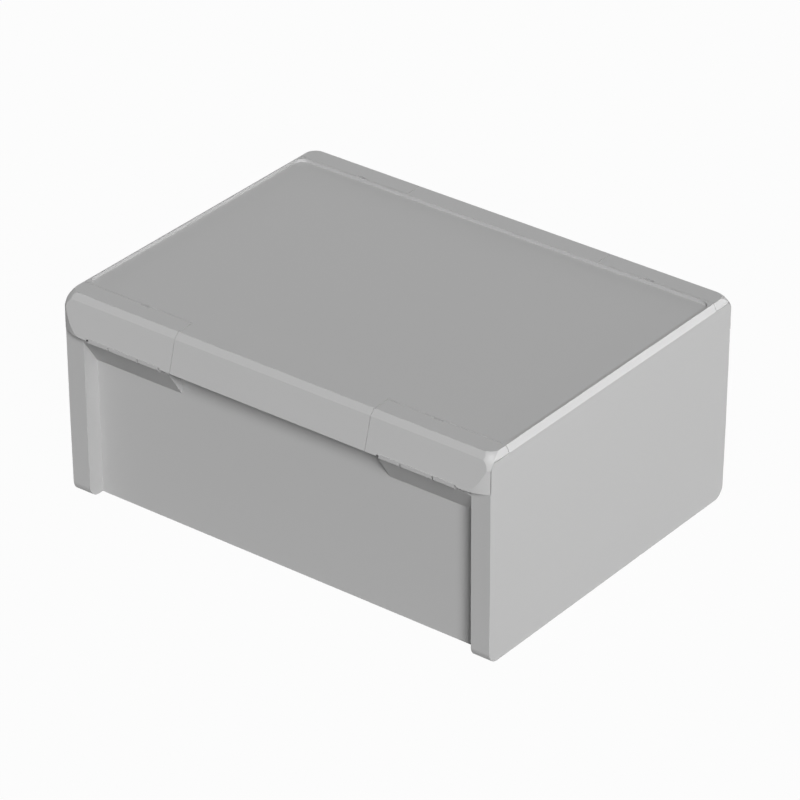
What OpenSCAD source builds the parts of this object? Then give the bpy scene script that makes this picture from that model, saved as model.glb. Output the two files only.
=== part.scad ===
// Moulded project box: a deep base, a lid with a sunken top panel and a seal in its rim, and four
// closures that clip on hinge rods of the base. Opened at the front, the lid swings up on the two
// back closures; the box is the same front to back, so it opens from either long side.
// Frame: origin under the middle of the box, X along its length, Y from front to back, Z up.
// Millimetres throughout.

/* [Box] */
// Length, side wall to side wall at the closures' lower edge
box_l = 240; // [200:1:320]
// Depth, from the front of the corner columns to their back
box_d = 181.4; // [150:0.2:240]
// Height of the closed box
box_h = 106; // [90:1:150]
// Lean of the base's outer walls, degrees, narrower at the bottom
draft = 0.45; // [0:0.05:0.8]
// Thickness of the side walls and of the recessed front and back walls
wall = 3; // [2.4:0.1:4]
// Thickness of the floor
floor_t = 3.5; // [2.5:0.1:5]
// How far the front and back walls lie behind the columns
wall_inset = 8.8; // [7:0.1:10]
// Width of the corner columns along X
column_w = 10.6; // [10.3:0.1:14]
// Rounding of the columns' lower corners, seen from the side
foot_r = 6; // [2:0.5:9]
// How far the side walls ease inwards at their front and back margins
margin_ease = 0.4; // [0:0.1:0.8]
// Width of those margins
margin_w = 6.5; // [4:0.5:9]

/* [Top] */
// Height of the strips along the front and back, which are closures and lid skirts
strip_h = 18.4; // [17:0.1:24]
// How far the strips' lower edge stands out from the columns
strip_proud = 4.2; // [2.5:0.1:5]
// How far the top of the strips' face lies behind the columns
strip_setback = 0; // [0:0.1:2]
// Chamfer along the strips' upper edge
strip_chamfer = 2.7; // [1:0.1:3]
// Length over which the strips' ends curve back to the side walls
strip_end_l = 12.5; // [7:0.5:14]
// Width of the bevel along the short sides' upper edge, seen from above
side_bevel_w = 1.4; // [0.6:0.1:3]
// Height of that bevel
side_bevel_h = 3.6; // [1.5:0.1:3.8]
// Radius of the top's corners, seen from above
corner_flat_r = 6; // [4:0.5:7]
// How far down the corner edges their rounding reaches
corner_drop = 7.3; // [6:0.1:9]
// Depth of the lid's sunken panel
panel_sink = 1.5; // [0.6:0.1:2]
// Flat left between the sunken panel and the bevel on the short sides
panel_rim = 0.7; // [0.4:0.1:2]
// Radius of the sunken panel's corners
panel_r = 5; // [2:0.5:10]
// Thickness of the lid's plate
lid_t = 3; // [2.4:0.1:4]
// Distance from the columns' face back to the seam between closures and lid
seam_inset = 12.5; // [12:0.1:14]
// Width of the lid's rim between that seam and the sunken panel
lid_rim = 0.8; // [0.6:0.1:3]

/* [Closures] */
// Length of each closure
closure_l = 65; // [60:0.1:72]
// Wall of the closures and of the lid's skirts
shell_t = 2.2; // [1.8:0.1:2.6]
// Visible gap at the seams
seam_gap = 0.3; // [0.1:0.05:0.4]
// Height of the lip inside the closures' top edge
lip_h = 2.4; // [1.5:0.1:3]
// Thickness of that lip
lip_t = 1.5; // [1:0.1:2]
// Depth of the snap groove in the lid's edge
snap_d = 0.7; // [0.4:0.1:1]
// Length of the slot for a screwdriver's blade in a closure's top edge
pry_l = 5.3; // [4:0.1:8]
// Width of that slot
pry_w = 1; // [0.6:0.1:1.5]
// Thickness of the ribs inside the closures
rib_t = 1.4; // [1:0.1:2]

/* [Hinges] */
// Radius of the hinge rods on the base
rod_r = 1.05; // [0.9:0.05:1.15]
// Distance of the rods' axis in front of the columns' face
rod_out = 1.3; // [1.2:0.05:1.4]
// Distance of the rods' axis below the strips' lower edge
rod_drop = 0.7; // [0.6:0.1:1.2]
// Running clearance between a rod and the clips round it
rod_clear = 0.08; // [0.03:0.01:0.1]
// Outer radius of the clips
clip_r = 2.1; // [1.9:0.05:2.1]
// Opening of the clips, degrees
clip_mouth = 110; // [80:5:120]
// Distance between the notches beside the middle clip
clip_mid = 17.5; // [14:0.1:19]
// Distance between the notches beside the outer clips
clip_side = 12.1; // [9:0.05:13]
// Width of the notches between the clips
notch_w = 1.4; // [1.3:0.1:2]
// Depth of those notches into the strip's lower edge
notch_up = 0.7; // [0.7:0.1:1.5]
// Distance from a closure's inner end to the middle of its clips
clip_mid_x = 27.6; // [26:0.1:30]
// Thickness of the webs that carry the rods
web_t = 1; // [0.8:0.1:1.1]
// Distance from the seam to the console that carries the webs
console_in = 4; // [2:0.5:5]
// Height of the console's front face
console_h = 1; // [0.8:0.1:6]
// Height of the console's sloped underside
console_slope_h = 13.3; // [8:0.1:14]

/* [Seal] */
// Height of the closed lid's rim ribs above the base's sealing face
seal_gap = 0.4; // [0.3:0.05:0.6]
// Gap left between the seal and the sealing face
seal_rest = 0.1; // [0.05:0.05:0.2]
// Thickness of the two ribs that hold the seal
seal_rib = 1.5; // [1:0.1:2]
// Height of those ribs under the lid's plate
seal_rib_h = 1.8; // [1.4:0.1:2.4]
// Width of the seal
seal_w = 3.6; // [2.5:0.1:4]
// Radius of the seal's corners, at its outer edge
seal_r = 6; // [5.5:0.5:12]
// Thickness of the sealing ledge
ledge_t = 3; // [2:0.1:4]

/* [Fixings] */
// Diameter of the screw channels in the columns
channel_d = 7.4; // [6.5:0.1:7.6]
// Diameter of the mounting holes under the channels
mount_hole_d = 4.4; // [3.5:0.1:5]
// Thickness of the seat under the mounting screws' heads
mount_seat = 4; // [3:0.5:8]
// Distance of the mounting holes from the side walls' outer face
mount_in_x = 5.4; // [5.3:0.1:5.6]
// Distance of the mounting holes from the columns' face
mount_in_y = 5.2; // [5:0.1:5.6]
// Distance between the circuit board's bosses along X
board_l = 180; // [120:1:184]
// Distance between the circuit board's bosses along Y
board_d = 120; // [80:1:122]
// Diameter of the bosses
boss_d = 7; // [6:0.5:9]
// Height of the bosses above the floor
boss_h = 8; // [5:0.5:15]
// Diameter of the screw holes in the bosses
boss_hole_d = 2.9; // [2:0.1:3.5]

/* [Hidden] */
shell_colour = [0.74, 0.74, 0.74];
seal_colour = [0.12, 0.12, 0.13];

half_l = box_l / 2;
half_d = box_d / 2;
strip_z = box_h - strip_h;            // lower edge of the strips
face_top_z = box_h - strip_chamfer;   // top of the strips' leaning face
part_z = box_h - side_bevel_h;        // where the lid meets the side walls
panel_z = box_h - panel_sink;         // top of the sunken panel
plate_z = panel_z - lid_t;            // underside of the lid's plate
land_z = plate_z - seal_rib_h - seal_gap;     // the base's sealing face
seam_x = half_l - closure_l;          // seams between the closures and the lid's skirts
seam_y = half_d - seam_inset;
inner_x = half_l - wall;              // inner faces of the base's walls
wall_y = half_d - wall_inset;         // outer faces of the recessed walls, and their inner faces
inner_y = wall_y - wall;
run_gap = 0.3;                        // room round the lid's edge inside the side walls
part_gap = 0.15;                      // gap under the lid's and closures' outer edges
low_gap = 0.4;                        // room under the clips, and round the closures' end walls
end_lip = 0.2;                        // how far the strips' ends stay in front of the columns
ledge_spare = 0.2;                    // width of the ledge inside the seal's inner rib
overlap = 0.5;                        // how far the closures' ribs run into the walls they join
guide_h = 2 * lid_t;                  // height of the ribs that guide the lid
lid_x = inner_x - run_gap;            // the lid's edges, inside the side walls and at the closures
lid_y = seam_y - seam_gap / 2;

// The strips' section: lower edge, top of the leaning face, upper edge.
strip_y0 = half_d + strip_proud;
strip_y1 = half_d - strip_setback;
strip_y2 = strip_y1 - strip_chamfer;
strip_lean = (strip_y0 - strip_y1) / (face_top_z - strip_z);
skin_y = shell_t * sqrt(1 + strip_lean * strip_lean);   // the leaning wall, measured along Y

// The top's corners are parts of spheres through the flat's rounded corner and the corner edge.
ball_in = corner_flat_r - 0.1;         // a little less than the radius, so the edges cross cleanly
ball_x = half_l - side_bevel_w - ball_in;
ball_y = strip_y2 - ball_in;
ball_edge = pow(half_l - ball_x, 2) + pow(half_d - ball_y, 2);
ball_down = (ball_edge - pow(corner_flat_r, 2) + pow(corner_drop, 2)) / (2 * corner_drop);
ball_r = sqrt(pow(corner_flat_r, 2) + pow(ball_down, 2));
ball_z = box_h - ball_down;
cheek_r = sqrt(pow(ball_r, 2) - pow(half_l - ball_x, 2));   // where the sphere meets the side wall

rod_y = half_d + rod_out;
rod_z = strip_z - rod_drop;
clip_x = seam_x + clip_mid_x;
notch_xs = [
    clip_x - clip_mid / 2 - clip_side, clip_x - clip_mid / 2,
    clip_x + clip_mid / 2, clip_x + clip_mid / 2 + clip_side
];
console_top = rod_z - clip_r - low_gap;
column_top = strip_z - low_gap;
mount_x = half_l - mount_in_x;
mount_y = half_d - mount_in_y;

seal_x = lid_x - seal_rib;                  // outer edge of the seal
seal_y = lid_y - seal_rib;
ledge_in = seal_w + seal_rib + ledge_spare; // how far the ledge reaches past the seal's outer edge

mouth_low = 30;                       // the clips' mouths reach this many degrees below level
far = 400;
$fn = 64;

// ---- Placing flat outlines ----

// An outline drawn in (Y, Z), carried along X from x0 to x1.
module along_x(x0, x1) {
    translate([x0, 0, 0]) rotate([90, 0, 90]) linear_extrude(x1 - x0) children();
}

// An outline drawn in (X, Z), carried along Y from y0 to y1.
module along_y(y0, y1) {
    translate([0, y1, 0]) rotate([90, 0, 0]) linear_extrude(y1 - y0) children();
}

// An outline drawn in (X, Y), carried up from z0 to z1.
module up(z0, z1) {
    translate([0, 0, z0]) linear_extrude(z1 - z0) children();
}

module both_x() {
    children();
    mirror([1, 0, 0]) children();
}

module both_y() {
    children();
    mirror([0, 1, 0]) children();
}

module corners() {
    both_x() both_y() children();
}

// A rectangle about the origin with round corners.
module round_rect(half_x, half_y, r) {
    square([2 * half_x, 2 * (half_y - r)], center = true);
    square([2 * (half_x - r), 2 * half_y], center = true);
    for (sx = [-1, 1], sy = [-1, 1])
        translate([sx * (half_x - r), sy * (half_y - r)]) circle(r);
}

// A rectangle about the origin that narrows by the draft below the strips' lower edge.
module drafted(half_w, z0, z1) {
    lean = tan(draft);
    low = half_w - (strip_z - z0) * lean;
    polygon([
        [-low, z0], [low, z0], [half_w, strip_z], [half_w, z1], [-half_w, z1], [-half_w, strip_z]
    ]);
}

// ---- The outer form ----

// The box seen from above: straight sides that ease in at their margins.
module side_plan(reach) {
    polygon([
        [half_l, -(half_d - margin_w)], [half_l, half_d - margin_w],
        [half_l - margin_ease, half_d], [half_l - margin_ease, reach],
        [-(half_l - margin_ease), reach], [-(half_l - margin_ease), half_d],
        [-half_l, half_d - margin_w], [-half_l, -(half_d - margin_w)],
        [-(half_l - margin_ease), -half_d], [-(half_l - margin_ease), -reach],
        [half_l - margin_ease, -reach], [half_l - margin_ease, -half_d]
    ]);
}

// The strips seen from above: their ends curve back to the side walls on an arc.
module strip_plan() {
    end_l = strip_end_l - margin_ease;
    end_in = strip_proud - end_lip;
    end_r = (pow(end_l, 2) + pow(end_in, 2)) / (2 * end_in);
    intersection() {
        side_plan(strip_y0);
        difference() {
            square([2 * half_l, 2 * strip_y0], center = true);
            corners() difference() {
                translate([half_l - strip_end_l, strip_y0 - end_r]) square([2 * strip_end_l, end_r + 1]);
                translate([half_l - strip_end_l, strip_y0 - end_r]) circle(end_r, $fn = 180);
            }
        }
    }
}

module strip_section() {
    polygon([
        [-strip_y0, strip_z], [strip_y0, strip_z], [strip_y1, face_top_z],
        [strip_y2, box_h], [-strip_y2, box_h], [-strip_y1, face_top_z]
    ]);
}

module lid_section() {
    polygon([
        [-half_l, strip_z], [half_l, strip_z], [half_l, part_z],
        [half_l - side_bevel_w, box_h], [-(half_l - side_bevel_w), box_h], [-half_l, part_z]
    ]);
}

// Everything above the strips' lower edge, lid and closures together.
module top_form() {
    intersection() {
        along_x(-half_l, half_l) strip_section();
        along_y(-strip_y0, strip_y0) lid_section();
        up(strip_z, box_h) strip_plan();
    }
}

// The hollow under the strips. Its top lies one shell under the box's top.
module strip_hollow(x0, x1, y_in) {
    top = box_h - shell_t;
    y_low = strip_y0 - skin_y + strip_lean;
    y_top = strip_y0 - skin_y - strip_lean * (top - strip_z);
    along_x(x0, x1) polygon([
        [y_in, strip_z - 1], [y_low, strip_z - 1], [y_top, top], [y_in, top]
    ]);
}

// The side wall's upper corner, grown by a gap: under the sphere's edge, behind the mitre.
module cheek(gap) {
    x0 = inner_x - gap;
    miter = half_d - half_l + gap * sqrt(2);
    intersection() {
        along_x(x0, half_l + 1) intersection() {
            translate([0, column_top]) square([half_d + 1, part_z - part_gap + gap - column_top]);
            union() {
                translate([ball_y, ball_z]) circle(cheek_r - part_gap + gap, $fn = 120);
                square([ball_y, box_h]);
                square([half_d + 1, ball_z]);
            }
        }
        up(column_top, box_h)
            polygon([[x0, 0], [half_l + 1, 0], [half_l + 1, half_l + 1 + miter], [x0, x0 + miter]]);
    }
}

// ---- Base ----

module base_form() {
    intersection() {
        union() {
            // the middle, between the recessed walls
            intersection() {
                along_x(-half_l, half_l) drafted(half_d - wall_inset, 0, part_z);
                up(0, part_z) square([2 * half_l, 2 * half_d], center = true);
            }
            // the corner columns
            corners() intersection() {
                along_x(half_l - column_w, half_l) foot_section();
                cube([half_l, half_d, column_top]);
            }
            // the side walls' upper corners, beside the closures
            corners() cheek(0);
        }
        along_y(-half_d, half_d) drafted(half_l, 0, box_h);
        up(0, box_h) side_plan(half_d);
    }
}

// The side view of the columns: leaning faces and round lower corners.
module foot_section() {
    low = half_d - (strip_z - foot_r) * tan(draft);
    polygon([
        [foot_r - low, 0], [low - foot_r, 0], [low, foot_r], [half_d, strip_z],
        [half_d, box_h], [-half_d, box_h], [-half_d, strip_z], [-low, foot_r]
    ]);
    for (s = [-1, 1]) translate([s * (low - foot_r), foot_r]) circle(foot_r);
}

// The inside, with a ledge round its mouth that carries the sealing face.
module base_hollow() {
    mouth_x = seal_x - ledge_in;
    mouth_y = seal_y - ledge_in;
    intersection() {
        along_x(-inner_x, inner_x) hollow_section(inner_y, mouth_y);
        along_y(-inner_y, inner_y) hollow_section(inner_x, mouth_x);
        up(floor_t, land_z + 1) round_rect(inner_x, inner_y, wall);
    }
}

module hollow_section(half_w, half_mouth) {
    lean = tan(draft);
    low = half_w - (strip_z - floor_t) * lean;
    ledge_z = land_z - ledge_t;
    slope_z = ledge_z - (half_w - half_mouth);
    polygon([
        [-low, floor_t], [low, floor_t], [half_w, slope_z],
        [half_mouth, ledge_z], [half_mouth, land_z + 1],
        [-half_mouth, land_z + 1], [-half_mouth, ledge_z], [-half_w, slope_z]
    ]);
}

// A sloped shelf under each closure, the webs on it and the rod they carry.
module console() {
    back_y = half_d - wall_inset - wall / 2;
    low = console_top - console_h;
    x0 = seam_x + console_in;
    x1 = half_l - column_w + 1;
    along_x(x0, x1) polygon([
        [back_y, console_top], [half_d, console_top], [half_d, low],
        [half_d - wall_inset, low - console_slope_h], [back_y, low - console_slope_h]
    ]);
    for (x = notch_xs) along_x(x - web_t / 2, x + web_t / 2) web();
    along_x(notch_xs[0] - web_t / 2, notch_xs[3] + web_t / 2) translate([rod_y, rod_z]) circle(rod_r);
}

module web() {
    r = 0.6 * rod_r;   // the web's corners lie inside the rod
    polygon([
        [rod_y + r, rod_z + r], [rod_y + r, rod_z - r], [half_d, console_top - console_h / 2],
        [half_d - wall_inset, console_top - console_h / 2], [half_d - wall_inset, console_top + 1],
        [rod_y - r, rod_z + r]
    ]);
}

module board_boss() {
    translate([board_l / 2, board_d / 2, 0]) difference() {
        union() {
            up(floor_t - 1, floor_t + boss_h) circle(d = boss_d);
            for (a = [0, 90, 180, 270]) rotate([0, 0, a]) along_y(-rib_t / 2, rib_t / 2)
                polygon([[0, floor_t - 1], [boss_d, floor_t - 1], [boss_d, floor_t], [0, floor_t + boss_h - 1]]);
        }
        up(floor_t, floor_t + boss_h + 1) circle(d = boss_hole_d);
    }
}

module base() color(shell_colour) {
    difference() {
        union() {
            base_form();
            corners() console();
        }
        base_hollow();
        // room for the lid inside the side walls, above the sealing face
        up(land_z, box_h) square([2 * inner_x, 2 * half_d + 1], center = true);
        corners() translate([mount_x, mount_y, 0]) {
            up(-1, box_h) circle(d = mount_hole_d);
            up(mount_seat, box_h) circle(d = channel_d);
        }
    }
    corners() board_boss();
}

// ---- Lid ----

module lid_plate() {
    intersection() {
        top_form();
        union() {
            up(plate_z, box_h) square([2 * lid_x, 2 * lid_y], center = true);
            up(part_z, box_h) square([2 * half_l, 2 * lid_y], center = true);
        }
    }
}

// The skirt between the two closures of a long side.
module lid_skirt() {
    x = seam_x - seam_gap / 2;
    difference() {
        intersection() {
            top_form();
            translate([-x, lid_y - 1, strip_z]) cube([2 * x, half_d, strip_h]);
        }
        difference() {
            strip_hollow(-x - 1, x + 1, lid_y - 2);
            up(plate_z, box_h) square([2 * half_l, 2 * lid_y], center = true);
        }
    }
}

module seal_ring(outer_in, inner_in) {
    difference() {
        round_rect(seal_x + outer_in, seal_y + outer_in, seal_r + outer_in);
        round_rect(seal_x - inner_in, seal_y - inner_in, seal_r - inner_in);
    }
}

// The V groove in the lid's edge that the closures' lip snaps into.
module snap_groove() {
    z = box_h - shell_t - lip_h + snap_d;
    along_x(seam_x, half_l)
        polygon([[lid_y + 1, z - snap_d - 1], [lid_y - snap_d, z], [lid_y + 1, z + snap_d + 1]]);
}

module lid() color(shell_colour) {
    difference() {
        union() {
            lid_plate();
            both_y() lid_skirt();
        }
        up(panel_z, box_h + 1)
            round_rect(half_l - side_bevel_w - panel_rim, lid_y - lid_rim, panel_r);
        corners() snap_groove();
    }
    up(plate_z - seal_rib_h, plate_z) {
        seal_ring(seal_rib, 0);
        seal_ring(-seal_w, seal_w + seal_rib);
    }
    // ribs that guide the lid between the ledges of the short sides
    both_x() translate([seal_x - ledge_in - run_gap - seal_rib, -board_d / 2, plate_z - guide_h])
        cube([seal_rib, board_d, guide_h]);
}

module lid_gasket() color(seal_colour) {
    up(land_z + seal_rest, plate_z) seal_ring(0, seal_w);
}

// ---- Closures ----

// The back right closure; the others are its mirror images.
module closure() {
    x0 = seam_x + seam_gap / 2;
    y0 = seam_y + seam_gap / 2;
    x_end = inner_x - seam_gap;
    difference() {
        union() {
            difference() {
                intersection() {
                    top_form();
                    translate([x0, y0, strip_z]) cube([closure_l, half_d, strip_h]);
                }
                strip_hollow(x0 + shell_t, x_end - shell_t, y0 + lip_t);
                // under the lip, and behind the end walls, the closure is open to the base's wall
                translate([x0 - 1, y0 - 1, strip_z - 1]) cube([
                    closure_l + 2, max(lip_t, wall_y + low_gap - y0) + 1,
                    strip_h + 1 - shell_t - lip_h
                ]);
            }
            closure_ribs();
            for (i = [0:2])
                clip(notch_xs[i] + notch_w / 2, notch_xs[i + 1] - notch_w / 2);
        }
        cheek(seam_gap);
        corner_cut();
        along_x(notch_xs[0] - web_t, notch_xs[3] + web_t)
            translate([rod_y, rod_z]) circle(rod_r + rod_clear);
        for (x = notch_xs)
            translate([x - notch_w / 2, 0, 0]) cube([notch_w, far, strip_z + notch_up]);
        translate([clip_x - pry_l / 2, y0 - 1, plate_z]) cube([pry_l, pry_w + 1, far]);
    }
}

// What the sphere leaves outside the corner.
module corner_cut() {
    translate([ball_x, ball_y, ball_z]) difference() {
        cube(2 * ball_r);
        sphere(ball_r, $fn = 96);
    }
}

// Ribs between the face and the top of a closure, beside the screwdriver slot and at the clips.
module closure_ribs() {
    top = box_h - shell_t;
    y_top = strip_y0 - skin_y - strip_lean * (top - strip_z) + overlap;
    y_low = strip_y0 - skin_y - strip_lean * strip_h / 2 + overlap;
    for (x = [notch_xs[1] + clip_r, clip_x, notch_xs[2] - clip_r])
        along_x(x - rib_t / 2, x + rib_t / 2)
            polygon([
                [y_low, box_h - strip_h / 2], [y_top, top + overlap], [seam_y + lip_t + 1, top + overlap]
            ]);
}

// A clip: most of a ring round the rod, open towards the box.
module clip(x0, x1) {
    along_x(x0, x1) translate([rod_y, rod_z]) difference() {
        union() {
            circle(clip_r);
            square([strip_y0 - rod_y, rod_drop + shell_t / 2]);
        }
        polygon([
            [0, 0], for (a = [-mouth_low, clip_mouth / 2 - mouth_low, clip_mouth - mouth_low])
                far * [-cos(a), sin(a)]
        ]);
    }
}

module back_right_closure() color(shell_colour) closure();
module back_left_closure() color(shell_colour) mirror([1, 0, 0]) closure();
module front_right_closure() color(shell_colour) mirror([0, 1, 0]) closure();
module front_left_closure() color(shell_colour) mirror([1, 0, 0]) mirror([0, 1, 0]) closure();

base();
lid();
lid_gasket();
front_left_closure();
front_right_closure();
back_left_closure();
back_right_closure();
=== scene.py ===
"""The moulded project box, dressed for rendering: plastic skins with fine mould texture, a soft
seal, and a plain white studio."""
import math

import bmesh
import bpy
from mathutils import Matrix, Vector

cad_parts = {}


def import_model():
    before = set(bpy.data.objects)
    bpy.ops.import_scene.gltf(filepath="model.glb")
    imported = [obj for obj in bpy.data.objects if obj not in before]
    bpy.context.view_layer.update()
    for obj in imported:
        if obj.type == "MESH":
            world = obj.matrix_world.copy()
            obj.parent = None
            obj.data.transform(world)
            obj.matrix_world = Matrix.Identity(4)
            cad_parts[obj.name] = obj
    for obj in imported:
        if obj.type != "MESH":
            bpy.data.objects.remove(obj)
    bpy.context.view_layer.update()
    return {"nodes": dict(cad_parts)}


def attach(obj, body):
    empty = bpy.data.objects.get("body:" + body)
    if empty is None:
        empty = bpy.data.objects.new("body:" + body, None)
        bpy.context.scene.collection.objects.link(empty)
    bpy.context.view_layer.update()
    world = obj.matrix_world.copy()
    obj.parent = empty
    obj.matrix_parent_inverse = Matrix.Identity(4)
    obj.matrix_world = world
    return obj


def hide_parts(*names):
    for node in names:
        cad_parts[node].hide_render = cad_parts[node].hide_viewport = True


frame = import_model()

MM = 0.001
WHITE = (1.0, 1.0, 1.0, 1.0)


# ---- Shader maths -------------------------------------------------------------------------

class Socket:
    """Wraps a node's output, so that sums on it add Math nodes to its tree."""

    def __init__(self, shader, link):
        self.shader = shader
        self.link = link

    def _with(self, operation, other, clamp=False):
        settings = {"operation": operation, "use_clamp": clamp}
        return self.shader.node("ShaderNodeMath", settings, [self, other])

    def __add__(self, other):
        return self._with("ADD", other)

    def __mul__(self, other):
        return self._with("MULTIPLY", other)

    def __or__(self, other):
        """The sum of two masks, held at 1."""
        return self._with("ADD", other, clamp=True)

    __radd__ = __add__
    __rmul__ = __mul__
    __ror__ = __or__


class Shader:
    """The nodes of a material or of the world, made one call at a time."""

    def __init__(self, owner, output="ShaderNodeOutputMaterial"):
        owner.use_nodes = True
        self.owner = owner
        self.tree = owner.node_tree
        self.tree.nodes.clear()
        self.out = self.tree.nodes.new(output)

    def node(self, kind, settings=None, inputs=(), output=0):
        """Adds a node: its settings first, then values or links for its sockets, by place or name."""
        made = self.tree.nodes.new(kind)
        for key, value in (settings or {}).items():
            setattr(made, key, value)
        pairs = inputs.items() if isinstance(inputs, dict) else enumerate(inputs)
        for key, value in pairs:
            if isinstance(value, Socket):
                self.tree.links.new(value.link, made.inputs[key])
            else:
                made.inputs[key].default_value = value
        return Socket(self, made.outputs[output])

    def coordinates(self):
        return self.node("ShaderNodeTexCoord", output="Object")

    def noise(self, where, scale, detail=2.0, roughness=0.5):
        """Even noise from 0 to 1, with scale in waves per metre."""
        return self.node(
            "ShaderNodeTexNoise", None,
            {"Vector": where, "Scale": scale, "Detail": detail, "Roughness": roughness},
        )

    def bump(self, height, strength, depth):
        """The normal of a surface that height raises by up to depth."""
        return self.node(
            "ShaderNodeBump", None, {"Strength": strength, "Distance": depth, "Height": height},
        )

    def shade(self, mask, low, high):
        """A grey that runs from low to high with a mask."""
        # a Mix node's colours go by place, because its names repeat for each type of data
        return self.node(
            "ShaderNodeMix", {"data_type": "RGBA"},
            {"Factor": mask, 6: (low, low, low, 1.0), 7: (high, high, high, 1.0)}, output=2,
        )

    def backdrop(self):
        """1 on the rays that see the surroundings as a plain white backdrop."""
        seen = [self.node("ShaderNodeLightPath", output=kind) for kind in
                ("Is Camera Ray", "Is Glossy Ray", "Is Transmission Ray")]
        return seen[0] | seen[1] | seen[2]

    def surface(self, result):
        self.tree.links.new(result.link, self.out.inputs["Surface"])
        return self.owner


# ---- Materials ----------------------------------------------------------------------------

GREY = 0.50
ROUGHNESS = 0.42
MOTTLE = 0.015             # share by which the flow marks darken and lighten the grey
ROUGHNESS_SPREAD = 0.03    # how far they take the roughness to either side


def moulded_plastic(name):
    """Light plastic from a spark-eroded mould: an even fine grain, and faint flow marks."""
    m = Shader(bpy.data.materials.new(name))
    where = m.coordinates()
    grain = m.noise(where, scale=2600.0, roughness=0.6)
    flow = m.noise(where, scale=9.0)
    return m.surface(m.node("ShaderNodeBsdfPrincipled", None, {
        "Base Color": m.shade(flow, GREY * (1.0 - MOTTLE), GREY * (1.0 + MOTTLE)),
        "Roughness": flow * (2.0 * ROUGHNESS_SPREAD) + (ROUGHNESS - ROUGHNESS_SPREAD),
        "Normal": m.bump(grain, strength=0.12, depth=0.03 * MM),
        "IOR": 1.5,
        "Specular IOR Level": 0.35,
    }))


def foam_rubber(name):
    """The seal: soft, dull and fine-pored."""
    m = Shader(bpy.data.materials.new(name))
    pores = m.noise(m.coordinates(), scale=1500.0, detail=3.0, roughness=0.7)
    return m.surface(m.node("ShaderNodeBsdfPrincipled", None, {
        "Base Color": m.shade(pores, low=0.012, high=0.035),
        "Roughness": 0.85,
        "Normal": m.bump(pores, strength=0.4, depth=0.1 * MM),
    }))


SHELL = moulded_plastic("light_grey_shell")
CLOSURE = moulded_plastic("light_grey_closure")
SEAL = foam_rubber("black_foam_rubber")


# ---- Mouldings ----------------------------------------------------------------------------

CREASE = math.radians(16)      # sharper turns than this are edges
TOGETHER = 0.001 * MM          # corners of triangles that are closer than this are one


def moulding(node, body, material):
    """A node's solid with its triangles merged, so that its curves are smooth and its flats flat."""
    solid = bmesh.new()
    solid.from_mesh(frame["nodes"][node].data)
    bmesh.ops.remove_doubles(solid, verts=solid.verts, dist=TOGETHER)
    mesh = bpy.data.meshes.new(node + "_moulding")
    solid.to_mesh(mesh)
    solid.free()
    # the loose triangles' own normals don't fit the merged ones
    mesh.attributes.remove(mesh.attributes["custom_normal"])
    mesh.shade_smooth()
    mesh.set_sharp_from_angle(angle=CREASE)
    mesh.materials.append(material)
    piece = bpy.data.objects.new(node + "_moulding", mesh)
    bpy.context.scene.collection.objects.link(piece)
    flats = piece.modifiers.new("flats", "WEIGHTED_NORMAL")
    flats.weight = 100
    flats.keep_sharp = True
    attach(piece, body)
    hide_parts(node)


moulding("base", "base", SHELL)
moulding("lid", "lid", SHELL)
for side in ("left", "right"):
    moulding(f"front_{side}_closure", f"front_{side}_closure", CLOSURE)
    moulding(f"back_{side}_closure", "lid", CLOSURE)
moulding("lid_gasket", "lid", SEAL)


# ---- Studio -------------------------------------------------------------------------------

def camera():
    """A long lens from the front right, looking down on the box."""
    down = math.radians(30.181)
    round_to_the_right = math.radians(37.608)
    data = bpy.data.cameras.new("camera")
    data.lens = 208.1
    data.sensor_width = 36.0
    data.clip_end = 100.0
    made = bpy.data.objects.new("camera", data)
    made.location = (1.1134, -1.4438, 1.1103)
    made.rotation_euler = (math.pi / 2.0 - down, 0.0, round_to_the_right)
    bpy.context.scene.collection.objects.link(made)
    bpy.context.scene.camera = made


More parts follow.
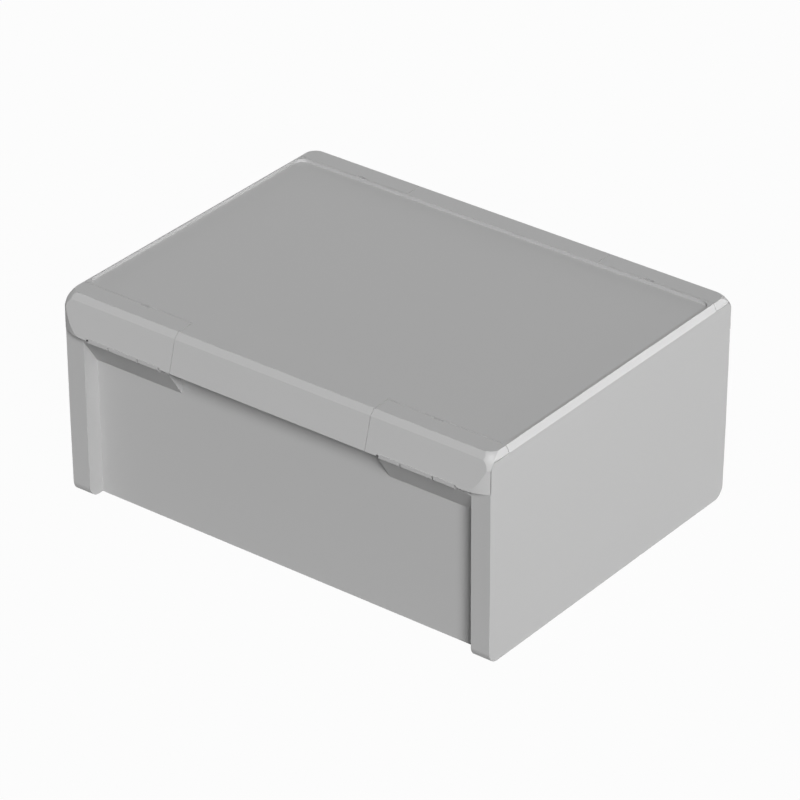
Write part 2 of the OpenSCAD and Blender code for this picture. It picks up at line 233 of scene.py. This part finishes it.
def sun(name, towards, softness, strength, diffuse=True, gloss=False):
    """A far soft lamp, out along a direction and as wide as softness, in radians. It lights the
    diffuse share of a surface, its gloss, or both."""
    data = bpy.data.lights.new(name, "SUN")
    data.angle = softness
    data.energy = strength
    made = bpy.data.objects.new(name, data)
    made.rotation_euler = Vector(towards).to_track_quat("Z", "Y").to_euler()
    made.visible_diffuse = diffuse
    made.visible_glossy = gloss
    bpy.context.scene.collection.objects.link(made)


def world(strength):
    """A dim even sky for the box, and white wherever the camera looks past the floor."""
    made = bpy.data.worlds.new("studio")
    bpy.context.scene.world = made
    w = Shader(made, "ShaderNodeOutputWorld")
    sky = w.node("ShaderNodeBackground", None, {"Strength": strength})
    white = w.node("ShaderNodeBackground", None, {"Color": WHITE, "Strength": 1.0})
    w.surface(w.node("ShaderNodeMixShader", None, [w.backdrop(), sky, white]))


def floor(paper, shadow):
    """A wide floor that is seen white, and throws back only what paper of that grey does. The
    share called shadow is the paper itself, and is darker where the box shades it."""
    half = 3.0
    z = -0.3 * MM      # a little under the box, so that the two faces don't coincide
    corners = [(-half, -half, z), (half, -half, z), (half, half, z), (-half, half, z)]
    mesh = bpy.data.meshes.new("floor")
    mesh.from_pydata(corners, [], [(0, 1, 2, 3)])
    made = bpy.data.objects.new("floor", mesh)
    bpy.context.scene.collection.objects.link(made)
    m = Shader(bpy.data.materials.new("floor"))
    dull = m.node("ShaderNodeBsdfDiffuse", None, {"Color": (paper, paper, paper, 1.0)})
    white = m.node("ShaderNodeEmission", None, {"Color": WHITE, "Strength": 1.0})
    seen_white = m.backdrop() * (1.0 - shadow)
    mesh.materials.append(
        m.surface(m.node("ShaderNodeMixShader", None, [seen_white, dull, white])))


camera()
floor(paper=0.2, shadow=0.03)
world(strength=0.01)
# from the front right and above, on the top, the front and the right side
sun("key", (0.33, -0.305, 0.29), softness=0.35, strength=3.4)
# level, on the right side and the back
sun("rim", (0.73, 0.68, 0.0), softness=0.2, strength=1.55, gloss=True)
# a sheen on what slopes up to the front right; the flat top mirrors it away from the camera
sun("glint", (0.33, -0.305, 0.7), softness=0.35, strength=2.6, diffuse=False, gloss=True)
# level, on the left side and the back, which the camera doesn't see
sun("fill", (-0.78, 0.62, 0.0), softness=0.4, strength=2.0)

bpy.context.scene.view_settings.view_transform = "Standard"
